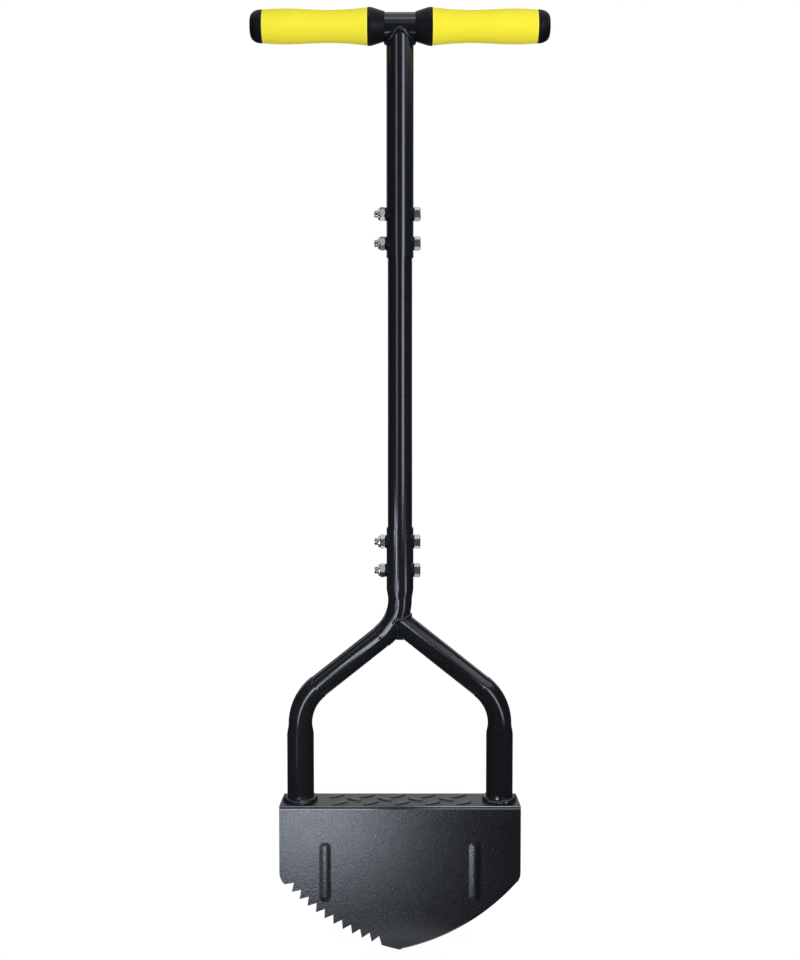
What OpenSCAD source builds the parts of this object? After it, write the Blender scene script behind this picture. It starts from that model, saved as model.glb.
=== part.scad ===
// Half moon lawn edger: a T-handled tube shaft bolted to a forked foot with a toothed blade.
// Millimetres, +Z up, the shaft's axis on Z and the blade's point at Z = 0, blade facing -Y.

/* [Handle] */
// Outer diameter of the handle bar
bar_d = 28.6; // [27:0.1:32]
// Wall of the handle bar
bar_wall = 1.5; // [1:0.1:2.5]
// Length of the handle bar
bar_len = 294; // [260:1:360]

/* [Grips] */
// Gap between the two grip collars, where the shaft meets the bar
collar_gap = 31.4; // [30.6:0.2:60]
// Length of a collar along the bar
collar_len = 17.4; // [12:0.2:24]
// Diameter of a collar at its rim, against the sleeve
collar_rim_d = 40; // [38:0.5:48]
// Diameter of a collar at its small end
collar_neck_d = 30.4; // [30.4:0.2:36]
// Width of the collar's rim before its cone begins
collar_rim_len = 4; // [2:0.2:6]
// Diameter of the foam sleeve at the collar
sleeve_inner_d = 39.2; // [37:0.2:40]
// Diameter of the foam sleeve at its waist
sleeve_waist_d = 33.8; // [32.8:0.2:38]
// Diameter of the foam sleeve at its belly
sleeve_belly_d = 36.7; // [34:0.1:40]
// Diameter of the foam sleeve at the end cap
sleeve_outer_d = 34.8; // [33:0.2:38]
// Diameter of an end cap
cap_d = 34.4; // [33:0.2:40]
// Length of the cap's skirt over the end of the bar
cap_skirt_len = 6.4; // [4:0.2:12]
// Thickness of the cap's end wall
cap_end_t = 6; // [3:0.2:10]
// Corner radius of an end cap
cap_round = 6; // [1:0.5:8]
// Length of the cap's spigot inside the bar
cap_spigot_len = 16; // [8:1:30]

/* [Shaft] */
// Outer diameter of the upper shaft, the fork and the legs
tube_d = 28; // [26:0.1:28.4]
// Wall of that tube
tube_wall = 1.2; // [1:0.1:2]
// Radial clearance of the middle tube in its two sockets
slip_clearance = 0.1; // [0.05:0.05:0.3]
// Wall of the middle tube
middle_wall = 1.5; // [1:0.1:3]
// Upper shaft, from the handle bar's axis to its lower rim
upper_len = 235.4; // [150:1:320]
// Length of the middle tube that shows between the sockets
middle_shown = 279.2; // [120:1:400]
// Length of the middle tube inside each socket
insert_len = 62; // [56:1:64]

/* [Bolted joints] */
// Diameter of the bolts
bolt_d = 8; // [6:1:8]
// Radial clearance of a bolt in the tubes
bolt_clearance = 0.25; // [0.1:0.05:0.5]
// First bolt's axis, from the socket's rim
bolt_edge = 15; // [12:0.5:18]
// Spacing of the two bolts of a joint
bolt_pitch = 30; // [24:0.5:32]
// Width across the flats of the bolt heads and nuts
hex_af = 13; // [12:0.5:14]
// Height of a bolt head
head_h = 6.2; // [4:0.1:8]
// Height of a lock nut with its collar
nut_h = 7.6; // [7:0.1:10]
// Length of a bolt past its nut
bolt_stickout = 4; // [1:0.5:8]
// Outer diameter of a saddle washer
washer_d = 14; // [13:0.5:16]
// Thickness of a saddle washer at its centre
washer_t = 1; // [0.6:0.1:2]

/* [Fork] */
// Distance of each leg's axis from the end of the footplate
leg_inset = 20.9; // [19.5:0.1:35]
// Height of the fork's crotch axes above the shoulders of the legs
fork_drop = 83.7; // [72:0.1:100]
// Length from the fork's crotch up to the lower socket's rim
socket_len = 99.5; // [96:0.5:140]
// Height of the shoulders of the legs above the footplate
leg_rise = 105; // [80:1:150]
// Centreline radius of the press bends
bend_r = 50; // [44:1:54]
// Width of the tube where the press has squeezed and bent it
formed_w = 24.6; // [20:0.1:26]
// How much slimmer, on each side, the straight slants are than the bends
slant_slim = 0.4; // [0.3:0.1:0.8]
// Length over which the squeezed tube runs out to round
shoulder_len = 12; // [5:0.5:14]

/* [Footplate] */
// Width of the footplate at its front edge, and of the blade
blade_w = 251; // [240:1:300]
// How much each side of the footplate narrows to the back
plate_taper = 2; // [0:0.5:6]
// Footplate's front edge, in front of the legs' axes
plate_front = 22.5; // [21:0.5:30]
// Footplate's back edge, behind the legs' axes
plate_back = 17.5; // [16.5:0.5:26]
// Thickness of the footplate
plate_t = 2.5; // [2:0.1:5]
// Length of a raised tread bar
tread_len = 18; // [10:0.5:22]
// Width of a raised tread bar
tread_w = 5; // [3:0.25:6]
// Height of a raised tread bar
tread_h = 1.1; // [0.5:0.1:2]
// Spacing of the tread bars along a row
tread_pitch = 32.3; // [28:0.1:36]
// Spacing of the three rows
tread_row = 10.7; // [9:0.1:12]
// Middle row's distance behind the footplate's front edge
tread_inset = 20.3; // [18:0.1:24]
// Slant of the tread bars
tread_angle = 30; // [15:1:45]
// Shift of the front row against the back row
tread_shift = 4.4; // [0:0.2:8]

/* [Blade] */
// Height of the blade, from its point to the footplate
blade_h = 149.8; // [130:0.1:200]
// Thickness of the blade
blade_t = 2.5; // [2:0.1:4]
// Radius of the blade's two cutting arcs
arc_r = 223.2; // [205:0.1:260]
// Sideways offset of each arc's centre, which makes the point
arc_offset = 46.3; // [20:0.1:60]
// Radius of the blade's outer corners
corner_r = 17.5; // [8:0.5:20]
// Number of notches of the saw edge
notch_count = 11; // [4:1:12]
// Arc length of a tooth
tooth_pitch = 11.04; // [8:0.02:11.4]
// Depth of a notch
tooth_depth = 8.3; // [3:0.1:10]
// Plain length of the toothed arc next to the point
tooth_start = 19.8; // [12:0.1:24]
// Width of the ground bevel on the plain arc
bevel_w = 1.8; // [0.5:0.1:3]
// Distance of each stiffening rib from the blade's middle
rib_x = 78; // [50:0.5:90]
// Width of a rib
rib_w = 12.8; // [8:0.2:16]
// Length of a rib
rib_len = 64.3; // [40:0.1:70]
// Height of a rib's centre above the blade's point
rib_z = 82.8; // [75:0.1:95]
// How far a rib stands out of the blade
rib_h = 2.2; // [1:0.1:3]

/* [Welds] */
// Leg of the weld bead under the handle bar
handle_bead = 2.8; // [1.5:0.1:4]
// Leg of the weld bead in the fork
fork_bead = 3; // [1.5:0.1:5]
// Leg of the weld bead round the foot of each leg
foot_bead = 5; // [3:0.1:6]
// Radius of the weld bead behind the blade
seam_bead = 4; // [2:0.5:6]
// Length of the footplate left bare at each end of that bead
seam_inset = 12; // [5:1:40]

/* [Hidden] */
$fn = 64;
hull_fn = 32;
eps = 0.05;
past = 1;
// Overlap of the stretches of one tube, and the small step where one stretch runs into the next
lap = 0.2;
step = 0.2;

// Heights of the joints, up from the blade's point
plate_z = blade_h + plate_t;
shoulder_z = plate_z + leg_rise;
crotch_z = shoulder_z + fork_drop;
socket_rim_z = crotch_z + socket_len;
upper_rim_z = socket_rim_z + middle_shown;
bar_z = upper_rim_z + upper_len;

// Tubes that fit one inside the other
bar_r = bar_d / 2;
bar_bore_r = bar_r - bar_wall;
tube_r = tube_d / 2;
tube_bore_r = tube_r - tube_wall;
middle_r = tube_bore_r - slip_clearance;
bolt_r = bolt_d / 2;
hole_r = bolt_r + bolt_clearance;

// Stations along a grip, out from the shaft's axis
collar_x = collar_gap / 2;
sleeve_x = collar_x + collar_len;
cap_x = bar_len / 2 - cap_skirt_len;
sleeve_len = cap_x - sleeve_x;
waist_at = 0.377;
belly_at = 0.781;
sleeve_steps = 20;

// Stations along a bolt, out from the shaft's axis
seat_x = tube_r + washer_t;
nut_collar_h = 2.6;
nut_hex_h = nut_h - nut_collar_h;
nut_collar_r = 0.455 * hex_af;
insert_r = bolt_r + 1;
insert_h = nut_collar_h - 0.4;
hex_r = hex_af / sqrt(3);
upper_bolt_z = upper_rim_z + bolt_edge;
lower_bolt_z = socket_rim_z - bolt_edge - bolt_pitch;

// Press bends of the fork, and a squeezed section of the same girth as the round tube
leg_x = blade_w / 2 - leg_inset;
fork_a = atan(leg_x / fork_drop);
bend_run = bend_r * tan(fork_a / 2);
slant_len = norm([leg_x, fork_drop]) - 2 * bend_run;
formed_r = formed_w / 2;
formed_flat = PI * (tube_d - formed_w) / 4;
upper_bend_z = crotch_z + bend_run;
lower_bend_z = shoulder_z - bend_run;

// Tread bars that fit between the welds of the two legs, in rows with and without one in the middle
tread_reach = leg_x - tube_r - foot_bead - (tread_len + tread_shift) / 2;
odd_treads = 2 * floor(tread_reach / tread_pitch) + 1;
even_treads = 2 * floor(tread_reach / tread_pitch + 0.5);

// Blade outline
half_w = blade_w / 2;
arc_z = sqrt(pow(arc_r, 2) - pow(arc_offset, 2));
point_a = asin(arc_offset / arc_r);
deg_per_mm = 180 / (PI * arc_r);
corner_x = half_w - corner_r;
corner_z = arc_z - sqrt(pow(arc_r - corner_r, 2) - pow(corner_x + arc_offset, 2));
corner_a = atan2(arc_z - corner_z, corner_x + arc_offset);
// Each rounded corner sits this far out, so that it crosses its neighbours and isn't tangent to them
corner_out = 0.3;
blade_y = -plate_front;
blade_back_y = blade_y + blade_t;
rib_r = (pow(rib_w / 2, 2) + pow(rib_h, 2)) / (2 * rib_h);
rib_axis_y = blade_y - rib_h + rib_r;
bevel_depth = 0.6 * blade_t;

black_paint = [0.10, 0.10, 0.11];
black_plastic = [0.12, 0.13, 0.15];
foam_yellow = [0.94, 0.90, 0.22];
zinc = [0.78, 0.79, 0.80];
nylon_white = [0.92, 0.92, 0.88];

// A round solid along +X from x0 to x1
module rod_x(r, x0, x1, fn = $fn) {
    translate([x0, 0, 0])
        rotate([0, 90, 0])
            cylinder(r = r, h = x1 - x0, $fn = fn);
}

// A round solid along +Z from z0 to z1
module rod_z(r, z0, z1) {
    translate([0, 0, z0])
        cylinder(r = r, h = z1 - z0);
}

// Turns a profile of [station, radius] points round the X axis
module turned_x(points) {
    rotate([0, 90, 0])
        rotate_extrude()
            polygon([for (p = points) [p.y, p.x]]);
}

module at_bar() {
    translate([0, 0, bar_z])
        children();
}

module handle_bar() {
    color(black_paint)
        at_bar()
            difference() {
                rod_x(bar_r, -bar_len / 2, bar_len / 2);
                rod_x(bar_bore_r, -bar_len / 2 - past, bar_len / 2 + past);
            }
}

// One collar, on the right of the shaft
module grip_collar() {
    edge = 0.8;
    turned_x([
        [collar_x, bar_r],
        [collar_x, collar_neck_d / 2],
        [sleeve_x - collar_rim_len, collar_rim_d / 2 - edge / 2],
        [sleeve_x - collar_rim_len + edge, collar_rim_d / 2],
        [sleeve_x - edge, collar_rim_d / 2],
        [sleeve_x, collar_rim_d / 2 - edge],
        [sleeve_x, bar_r],
    ]);
}

module left_grip_collar() {
    color(black_plastic)
        at_bar()
            mirror([1, 0, 0])
                grip_collar();
}

module right_grip_collar() {
    color(black_plastic)
        at_bar()
            grip_collar();
}

// Sleeve diameter at a share t of its length: a flared start, a waist, a belly and a drop to the cap
function sleeve_d(t) =
    t < waist_at ? sleeve_waist_d + (sleeve_inner_d - sleeve_waist_d) * pow(1 - t / waist_at, 2)
    : t < belly_at ? sleeve_waist_d
        + (sleeve_belly_d - sleeve_waist_d) * (1 - cos(180 * (t - waist_at) / (belly_at - waist_at))) / 2
    : sleeve_belly_d - (sleeve_belly_d - sleeve_outer_d) * pow((t - belly_at) / (1 - belly_at), 2);

// One foam sleeve, on the right of the shaft
module grip_sleeve() {
    turned_x(concat(
        [[sleeve_x, bar_r]],
        [for (i = [0:sleeve_steps]) [sleeve_x + sleeve_len * i / sleeve_steps, sleeve_d(i / sleeve_steps) / 2]],
        [[cap_x, bar_r]]
    ));
}

module left_grip_sleeve() {
    color(foam_yellow)
        at_bar()
            mirror([1, 0, 0])
                grip_sleeve();
}

module right_grip_sleeve() {
    color(foam_yellow)
        at_bar()
            grip_sleeve();
}

// One end cap on the right: a skirt over the bar, a rounded end wall and a spigot in the bore
module end_cap() {
    end_x = bar_len / 2 + cap_end_t;
    spigot_r = bar_bore_r - eps;
    turned_x(concat(
        [[bar_len / 2 - cap_spigot_len, 0]],
        [[bar_len / 2 - cap_spigot_len, spigot_r - past], [bar_len / 2 - cap_spigot_len + past, spigot_r]],
        [[bar_len / 2, spigot_r], [bar_len / 2, bar_r], [cap_x, bar_r], [cap_x, cap_d / 2]],
        [for (a = [0:15:90])
            [end_x - cap_round + cap_round * sin(a), cap_d / 2 - cap_round + cap_round * cos(a)]],
        [[end_x, 0]]
    ));
}

module left_end_cap() {
    color(black_plastic)
        at_bar()
            mirror([1, 0, 0])
                end_cap();
}

module right_end_cap() {
    color(black_plastic)
        at_bar()
            end_cap();
}

// Cross holes of a bolted joint
module bolt_holes(z) {
    for (i = [0, 1])
        translate([0, 0, z + i * bolt_pitch])
            rod_x(hole_r, -tube_d, tube_d);
}

// Upper shaft, coped to seat under the handle bar
module upper_shaft() {
    color(black_paint)
        difference() {
            rod_z(tube_r, upper_rim_z, bar_z);
            rod_z(tube_bore_r, upper_rim_z - past, bar_z + past);
            at_bar()
                rod_x(bar_r, -bar_len / 2, bar_len / 2);
            bolt_holes(upper_bolt_z);
        }
}

// Bead in the corner between the bar and the coped shaft
module handle_weld() {
    color(black_paint)
        difference() {
            intersection() {
                rod_z(tube_r + handle_bead, bar_z - 2 * bar_r, bar_z);
                at_bar()
                    rod_x(bar_r + 0.85 * handle_bead, -tube_d, tube_d);
            }
            rod_z(tube_r, bar_z - 3 * bar_r, bar_z + past);
            at_bar()
                rod_x(bar_r, -bar_len / 2, bar_len / 2);
        }
}

module middle_tube() {
    color(black_paint)
        difference() {
            rod_z(middle_r, socket_rim_z - insert_len, upper_rim_z + insert_len);
            rod_z(middle_r - middle_wall, socket_rim_z - insert_len - past, upper_rim_z + insert_len + past);
            bolt_holes(upper_bolt_z);
            bolt_holes(lower_bolt_z);
        }
}

// Two hex bolts of a joint, heads on the right
module joint_bolts(z) {
    for (i = [0, 1])
        translate([0, 0, z + i * bolt_pitch]) {
            rod_x(hex_r, seat_x, seat_x + head_h, 6);
            rod_x(bolt_r, -seat_x - nut_h - bolt_stickout, seat_x + past);
        }
}

// Two lock nuts of a joint on the left, each bored for its bolt and its nylon ring
module joint_nuts(z) {
    for (i = [0, 1])
        translate([0, 0, z + i * bolt_pitch])
            difference() {
                union() {
                    rod_x(hex_r, -seat_x - nut_hex_h, -seat_x, 6);
                    rod_x(nut_collar_r, -seat_x - nut_h, -seat_x - nut_hex_h + eps);
                }
                rod_x(bolt_r, -seat_x - nut_h - past, -seat_x + past);
                rod_x(insert_r, -seat_x - nut_h - past, -seat_x - nut_h + insert_h);
            }
}

module joint_nut_inserts(z) {
    for (i = [0, 1])
        translate([0, 0, z + i * bolt_pitch])
            difference() {
                rod_x(insert_r, -seat_x - nut_h, -seat_x - nut_h + insert_h);
                rod_x(bolt_r, -seat_x - nut_h - past, -seat_x - nut_h + insert_h + past);
            }
}

// Four washers of a joint, flat outside and hollowed to hug the tube
module joint_saddle_washers(z) {
    for (i = [0, 1], side = [-1, 1])
        translate([0, 0, z + i * bolt_pitch])
            difference() {
                rotate([0, 0, side > 0 ? 0 : 180])
                    rod_x(washer_d / 2, tube_r - washer_d / 4, seat_x);
                rod_z(tube_r, -washer_d, washer_d);
                rod_x(hole_r, -2 * tube_r, 2 * tube_r);
            }
}

module upper_bolts() {
    color(zinc)
        joint_bolts(upper_bolt_z);
}

module upper_nuts() {
    color(zinc)
        joint_nuts(upper_bolt_z);
}

module upper_nut_inserts() {
    color(nylon_white)
        joint_nut_inserts(upper_bolt_z);
}

module upper_saddle_washers() {
    color(black_plastic)
        joint_saddle_washers(upper_bolt_z);
}

module lower_bolts() {
    color(zinc)
        joint_bolts(lower_bolt_z);
}

module lower_nuts() {
    color(zinc)
        joint_nuts(lower_bolt_z);
}

module lower_nut_inserts() {
    color(nylon_white)
        joint_nut_inserts(lower_bolt_z);
}

module lower_saddle_washers() {
    color(black_plastic)
        joint_saddle_washers(lower_bolt_z);
}

// Squeezed tube's section, flattened across the fork's plane; grow moves its wall outwards
module formed_section(grow = 0) {
    for (side = [-1, 1])
        translate([0, side * formed_flat])
            circle(r = formed_r + grow);
    square([formed_w + 2 * grow, 2 * formed_flat], center = true);
}

// Runs from the round tube at z0 to the squeezed section at z1
module shoulder(grow, z0, z1) {
    thin = 0.05;
    hull() {
        translate([0, 0, z0])
            linear_extrude(thin)
                circle(r = tube_r + grow - step, $fn = hull_fn);
        translate([0, 0, z1])
            linear_extrude(thin) {
                for (side = [-1, 1])
                    translate([0, side * formed_flat])
                        circle(r = formed_r + grow - step, $fn = hull_fn);
            }
    }
}

// Upper press bend of the left leg, from upright to the slant
module upper_bend(grow) {
    translate([-bend_r, 0, upper_bend_z])
        rotate([90, 0, 0])
            rotate([0, 0, -fork_a])
                rotate_extrude(angle = fork_a)
                    translate([bend_r, 0])
                        formed_section(grow);
}

// Straight slant of the left leg, drawn up from its lower bend
module slant(grow, length) {
    translate([-leg_x, 0, shoulder_z])
        rotate([0, fork_a, 0])
            translate([0, 0, bend_run - lap])
                linear_extrude(length + lap)
                    formed_section(grow - slant_slim);
}

// Lower press bend of the left leg, from the slant to upright
module lower_bend(grow) {
    translate([bend_r - leg_x, 0, lower_bend_z])
        rotate([90, 0, 0])
            rotate([0, 0, 180 - fork_a])
                rotate_extrude(angle = fork_a)
                    translate([bend_r, 0])
                        formed_section(grow);
}

// Lower bend with the round leg under it, down to height foot_z
module lower_leg(grow, foot_z) {
    lower_bend(grow);
    translate([-leg_x, 0, 0]) {
        shoulder(grow, lower_bend_z - shoulder_len - lap, lower_bend_z + lap);
        rod_z(tube_r + grow, foot_z, lower_bend_z - shoulder_len);
    }
}

// Whole left leg: socket, shoulder, upper bend, slant, lower bend and leg
module left_tube(grow, foot_z, rim_z) {
    rod_z(tube_r + grow, upper_bend_z + shoulder_len, rim_z);
    shoulder(grow, upper_bend_z + shoulder_len + lap, upper_bend_z - lap);
    upper_bend(grow);
    slant(grow, slant_len + lap);
    lower_leg(grow, foot_z);
}

// Right leg's tube, which starts at the crotch
module right_tube(grow, foot_z, extra) {
    mirror([1, 0, 0]) {
        slant(grow, slant_len + bend_run + extra);
        lower_leg(grow, foot_z);
    }
}

// Left leg's squeezed tube near the crotch
module left_joint(grow) {
    upper_bend(grow);
    slant(grow, slant_len + lap);
}

module left_leg() {
    color(black_paint)
        difference() {
            left_tube(0, plate_z, socket_rim_z);
            left_tube(-tube_wall, plate_z - past, socket_rim_z + past);
            bolt_holes(lower_bolt_z);
        }
}

// Right leg, coped to the left leg's bend
module right_leg() {
    color(black_paint)
        difference() {
            right_tube(0, plate_z, 0);
            right_tube(-tube_wall, plate_z - past, past);
            left_joint(0);
        }
}

// Bead in the corner between the two legs
module fork_weld() {
    color(black_paint)
        difference() {
            intersection() {
                left_joint(fork_bead);
                mirror([1, 0, 0])
                    slant(0.85 * fork_bead, slant_len + bend_run + fork_bead);
            }
            left_joint(0);
            mirror([1, 0, 0])
                slant(0, slant_len + bend_run);
        }
}

module plate_outline() {
    polygon([
        [-half_w, -plate_front],
        [half_w, -plate_front],
        [half_w - plate_taper, plate_back],
        [-half_w + plate_taper, plate_back],
    ]);
}

// One raised tread bar: a lens in plan with sloped sides, sunk a little into the plate
module tread_bar() {
    lens_r = (pow(tread_len / 2, 2) + pow(tread_w / 2, 2)) / tread_w;
    slope = 0.7;
    sunk = plate_t / 2;
    intersection_for(side = [-1, 1])
        translate([0, side * (lens_r - tread_w / 2), -sunk])
            cylinder(r1 = lens_r + slope * sunk, r2 = lens_r - slope * tread_h, h = sunk + tread_h);
}

// One row of tread bars between the legs
module tread_line(count, y, shift, turn) {
    for (i = [0:count - 1])
        translate([(i - (count - 1) / 2) * tread_pitch + shift, y, plate_z])
            rotate([0, 0, turn])
                tread_bar();
}

module footplate() {
    color(black_paint) {
        translate([0, 0, blade_h])
            linear_extrude(plate_t)
                plate_outline();
        tread_line(odd_treads, tread_inset + tread_row - plate_front, -tread_shift / 2, tread_angle);
        tread_line(even_treads, tread_inset - plate_front, 0, -tread_angle);
        tread_line(odd_treads, tread_inset - tread_row - plate_front, tread_shift / 2, tread_angle);
    }
}

// Bead round the foot of a leg, cut off at the footplate's edges
module foot_weld(side) {
    intersection() {
        translate([side * leg_x, 0, plate_z])
            rotate_extrude()
                polygon([
                    [tube_r, 0],
                    [tube_r + foot_bead, 0],
                    [tube_r + 0.62 * foot_bead, 0.62 * foot_bead],
                    [tube_r, foot_bead],
                ]);
        translate([0, 0, blade_h])
            linear_extrude(plate_t + 2 * foot_bead)
                plate_outline();
    }
}

module left_foot_weld() {
    color(black_paint)
        foot_weld(-1);
}

module right_foot_weld() {
    color(black_paint)
        foot_weld(1);
}

// Blade's outline without its teeth: two arcs meeting at the point, with rounded outer corners
module blade_outline() {
    reach = 2 * corner_r;
    difference() {
        intersection() {
            translate([-half_w, -past])
                square([blade_w, blade_h + past]);
            intersection_for(side = [-1, 1])
                translate([side * arc_offset, arc_z])
                    circle(r = arc_r);
        }
        for (turn = [0, 180])
            rotate([0, turn, 0])
                translate([corner_x, corner_z] + corner_out * [cos(corner_a / 2), -sin(corner_a / 2)])
                    difference() {
                        polygon([
                            [0, 0],
                            [reach, 0],
                            [reach, -reach],
                            [reach * cos(corner_a), -reach * sin(corner_a)],
                        ]);
                        circle(r = corner_r);
                    }
    }
}

// Notches of the saw edge, each a V turned round the left arc's centre
module notches() {
    mouth = 1.3;
    root_r = arc_r - tooth_depth;
    half_a = tooth_pitch * deg_per_mm / 2;
    for (i = [0:notch_count - 1])
        translate([arc_offset, arc_z])
            rotate(-(point_a + (tooth_start + (i + 0.5) * tooth_pitch) * deg_per_mm))
                polygon([
                    [0, -root_r],
                    mouth * (arc_r * [sin(half_a), -cos(half_a)] + [0, root_r]) - [0, root_r],
                    mouth * (arc_r * [-sin(half_a), -cos(half_a)] + [0, root_r]) - [0, root_r],
                ]);
}

// Ground bevel along the front of the plain arc, from just past the point to the rounded corner
module bevel_cut() {
    slope = bevel_depth / bevel_w;
    past_a = 1.5;
    translate([-arc_offset, blade_back_y, arc_z])
        rotate([90, 0, 0])
            rotate([0, 0, point_a - past_a - 90])
                rotate_extrude(angle = 90 + past_a - point_a - corner_a)
                    polygon([
                        [arc_r - bevel_w - past, blade_t + slope * past],
                        [arc_r + past, blade_t + slope * past],
                        [arc_r + past, blade_t - bevel_depth - slope * past],
                    ]);
}

// Pressed rib: a long bump with round ends, of radius r
module rib(side, r) {
    half = rib_len / 2 - rib_w / 2;
    translate([side * rib_x, rib_axis_y, rib_z]) {
        rod_z(r, -half, half);
        for (end = [-1, 1])
            translate([0, 0, end * half])
                sphere(r = r);
    }
}

module blade() {
    color(black_paint)
        difference() {
            union() {
                translate([0, blade_back_y, 0])
                    rotate([90, 0, 0])
                        linear_extrude(blade_t)
                            difference() {
                                blade_outline();
                                notches();
                            }
                intersection() {
                    union() {
                        rib(-1, rib_r);
                        rib(1, rib_r);
                    }
                    translate([-half_w, blade_y - rib_h - past, 0])
                        cube([blade_w, rib_h + past + blade_t / 2, blade_h]);
                }
            }
            rib(-1, rib_r - blade_t);
            rib(1, rib_r - blade_t);
            bevel_cut();
        }
}

// Bead in the corner behind the blade, under the footplate
module blade_weld() {
    run = half_w - seam_inset;
    color(black_paint)
        intersection() {
            translate([0, blade_back_y, blade_h])
                rod_x(seam_bead, -run, run);
            translate([-half_w, blade_back_y, blade_h - 2 * seam_bead])
                cube([blade_w, 2 * seam_bead, 2 * seam_bead]);
        }
}

handle_bar();
left_grip_collar();
right_grip_collar();
left_grip_sleeve();
right_grip_sleeve();
left_end_cap();
right_end_cap();
upper_shaft();
handle_weld();
middle_tube();
upper_bolts();
upper_nuts();
upper_nut_inserts();
upper_saddle_washers();
lower_bolts();
lower_nuts();
lower_nut_inserts();
lower_saddle_washers();
left_leg();
right_leg();
fork_weld();
footplate();
left_foot_weld();
right_foot_weld();
blade();
blade_weld();
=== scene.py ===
import math

import bmesh
import bpy
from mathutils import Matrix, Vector


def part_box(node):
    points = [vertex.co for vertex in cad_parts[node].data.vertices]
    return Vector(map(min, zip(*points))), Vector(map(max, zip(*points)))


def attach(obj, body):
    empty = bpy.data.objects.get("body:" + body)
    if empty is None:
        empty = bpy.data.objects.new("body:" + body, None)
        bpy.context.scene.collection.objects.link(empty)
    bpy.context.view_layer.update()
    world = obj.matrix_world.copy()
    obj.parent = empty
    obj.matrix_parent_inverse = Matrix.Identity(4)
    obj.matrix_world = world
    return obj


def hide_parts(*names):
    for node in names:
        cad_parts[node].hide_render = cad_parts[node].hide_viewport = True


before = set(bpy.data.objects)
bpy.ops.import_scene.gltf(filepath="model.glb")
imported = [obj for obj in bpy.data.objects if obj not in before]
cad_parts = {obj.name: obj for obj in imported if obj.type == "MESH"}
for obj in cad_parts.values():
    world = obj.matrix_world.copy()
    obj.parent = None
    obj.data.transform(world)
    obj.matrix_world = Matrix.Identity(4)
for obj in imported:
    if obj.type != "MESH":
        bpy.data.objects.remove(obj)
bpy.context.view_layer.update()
mm = 0.001

# Blade
# A half moon of 2.5 mm steel plate, cut with a saw edge on the left and a ground edge on the right,
# and stiffened by two pressed ribs. It is welded under the front edge of the footplate.
blade_low, blade_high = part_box("blade")
blade_half_w = blade_high.x
blade_top_z = blade_high.z
blade_back_y = blade_high.y
blade_t = 2.5 * mm
blade_front_y = blade_back_y - blade_t
arc_r = 223.2 * mm
arc_offset = 46.3 * mm
corner_r = 17.5 * mm
notch_count = 11
tooth_pitch = 11.04 * mm
tooth_depth = 8.3 * mm
tooth_start = 19.8 * mm
ground_w = 1.8 * mm
ground_depth = 1.5 * mm
blade_edge_round = 0.2 * mm
blade_top_chamfer = 0.4 * mm
# How near a vertex counts as lying on a plane, and how near two count as one
snap = 0.1 * mm
merge_gap = 0.001 * mm


def clear_selection():
    """Back to object mode, with nothing selected."""
    if bpy.context.object and bpy.context.object.mode != "OBJECT":
        bpy.ops.object.mode_set(mode="OBJECT")
    bpy.ops.object.select_all(action="DESELECT")


def take(piece):
    """Selects one piece and makes it the active one, in object mode."""
    clear_selection()
    piece.select_set(True)
    bpy.context.view_layer.objects.active = piece
    return piece


def pull(way):
    """Extrudes what is selected in edit mode by a way."""
    bpy.ops.mesh.extrude_region_move(TRANSFORM_OT_translate={"value": way})


def trace(points):
    """Draws a chain of edges by extruding one vertex from point to point, and stays in edit mode."""
    clear_selection()
    bpy.ops.mesh.primitive_plane_add(size=mm, location=points[0])
    bpy.ops.object.transform_apply()
    bpy.ops.object.mode_set(mode="EDIT")
    bpy.ops.mesh.merge(type="CENTER")
    for start, end in zip(points, points[1:]):
        pull(end - start)
    return bpy.context.object


def fill_outline(way):
    """Fills a traced outline with a face and extrudes it by a way."""
    bpy.ops.mesh.select_all(action="SELECT")
    bpy.ops.mesh.edge_face_add()
    pull(way)


def pick(test):
    """Selects the vertices of the mesh in edit mode whose place passes a test."""
    bpy.ops.mesh.select_all(action="DESELECT")
    mesh = bmesh.from_edit_mesh(bpy.context.object.data)
    for vertex in mesh.verts:
        vertex.select = test(vertex.co)
    mesh.select_flush(True)
    bmesh.update_edit_mesh(bpy.context.object.data)


def close_up():
    """Merges the doubles of the mesh in edit mode and turns its faces outwards."""
    bpy.ops.mesh.select_all(action="SELECT")
    bpy.ops.mesh.remove_doubles(threshold=merge_gap)
    bpy.ops.mesh.normals_make_consistent(inside=False)


def apply_modifiers(piece):
    """Applies every modifier of a piece, in order."""
    take(piece)
    for modifier in list(piece.modifiers):
        bpy.ops.object.modifier_apply(modifier=modifier.name)


def round_edges(piece, width, limit=30):
    """Rounds the edges that turn by more than limit degrees, and keeps the large faces flat."""
    bevel = piece.modifiers.new("edge round", "BEVEL")
    bevel.width = width
    bevel.segments = 2
    bevel.limit_method = "ANGLE"
    bevel.angle_limit = math.radians(limit)
    take(piece)
    bpy.ops.object.shade_smooth()
    piece.modifiers.new("flat faces", "WEIGHTED_NORMAL")
    apply_modifiers(piece)


def shade(limit):
    """Shades the active piece smooth, but for edges that turn by more than limit degrees."""
    bpy.ops.object.shade_smooth_by_angle(angle=math.radians(limit))


def carve(piece, tool, operation="DIFFERENCE"):
    """Cuts a piece with a tool mesh, which is then thrown away."""
    take(piece)
    cut = piece.modifiers.new("cut", "BOOLEAN")
    cut.operation = operation
    cut.solver = "EXACT"
    cut.object = tool
    apply_modifiers(piece)
    bpy.data.objects.remove(tool)


def join(pieces):
    """Makes several meshes one piece, named and placed as the first."""
    clear_selection()
    for piece in pieces:
        piece.select_set(True)
    bpy.context.view_layer.objects.active = pieces[0]
    bpy.ops.object.join()
    return pieces[0]


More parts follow.
